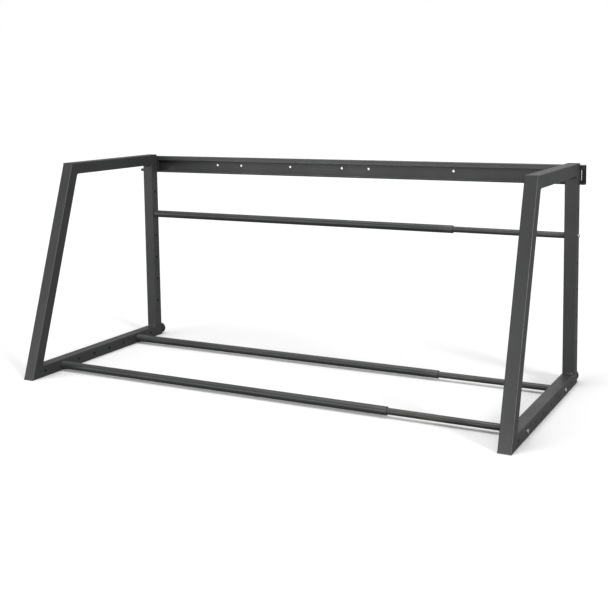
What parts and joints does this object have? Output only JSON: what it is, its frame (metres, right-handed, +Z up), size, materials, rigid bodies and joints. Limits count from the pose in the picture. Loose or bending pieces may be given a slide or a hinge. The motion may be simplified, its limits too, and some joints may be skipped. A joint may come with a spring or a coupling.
{
  "type": "extending tyre storage rack",
  "caption": "Wall or floor tyre rack: trapezoid end frames of square tube joined by telescopic round tubes, hooked into a lipped wall rail.",
  "frame": {"origin": "on the floor, at the middle of the rack's bounding box in X and Y", "axes": "+X along the rack to its right as one faces it, +Y towards the wall, +Z up"},
  "size_m": [1.626, 0.7304, 0.682],
  "materials": {
    "powder_coat": "anthracite powder coat, fine orange peel, satin",
    "hook_steel": "black enamel, satin",
    "black_steel": "blackened steel",
    "zinc": "zinc plated, dulled",
    "black_plastic": "moulded, fine grain",
    "rubber": "matt black rubber"
  },
  "bodies": {
    "wall_rail": {"wall_rail": "powder_coat"},
    "left_frame": {"left_bottom_rail": "powder_coat", "left_front_upright": "powder_coat", "left_top_rail": "powder_coat", "left_rear_upright": "powder_coat", "left_hook_block": "hook_steel", "left_hook_bolt": "black_steel", "left_top_cap": "black_plastic", "left_base_cap": "black_plastic", "left_buffer": "rubber", "left_buffer_screw": "zinc", "front_outer_tube": "powder_coat", "left_front_plug": "zinc", "left_front_bolt": "zinc", "rear_outer_tube": "powder_coat", "left_rear_plug": "zinc", "left_rear_bolt": "zinc", "lean_outer_tube": "powder_coat", "left_lean_plug": "zinc", "left_lean_bolt": "zinc"},
    "right_frame": {"right_bottom_rail": "powder_coat", "right_front_upright": "powder_coat", "right_top_rail": "powder_coat", "right_rear_upright": "powder_coat", "right_hook_block": "hook_steel", "right_hook_bolt": "black_steel", "right_top_cap": "black_plastic", "right_base_cap": "black_plastic", "right_buffer": "rubber", "right_buffer_screw": "zinc", "front_inner_tube": "powder_coat", "right_front_plug": "zinc", "right_front_bolt": "zinc", "rear_inner_tube": "powder_coat", "right_rear_plug": "zinc", "right_rear_bolt": "zinc", "lean_inner_tube": "powder_coat", "right_lean_plug": "zinc", "right_lean_bolt": "zinc"}
  },
  "joints": [
    {"name": "rail_shift", "type": "slide", "parent": "wall_rail", "child": "left_frame", "axis": [1, 0, 0], "range_m": [-0.011, 0.011]},
    {"name": "width_slide", "type": "slide", "parent": "left_frame", "child": "right_frame", "axis": [1, 0, 0], "range_m": [-0.355, 0.01]}
  ]
}
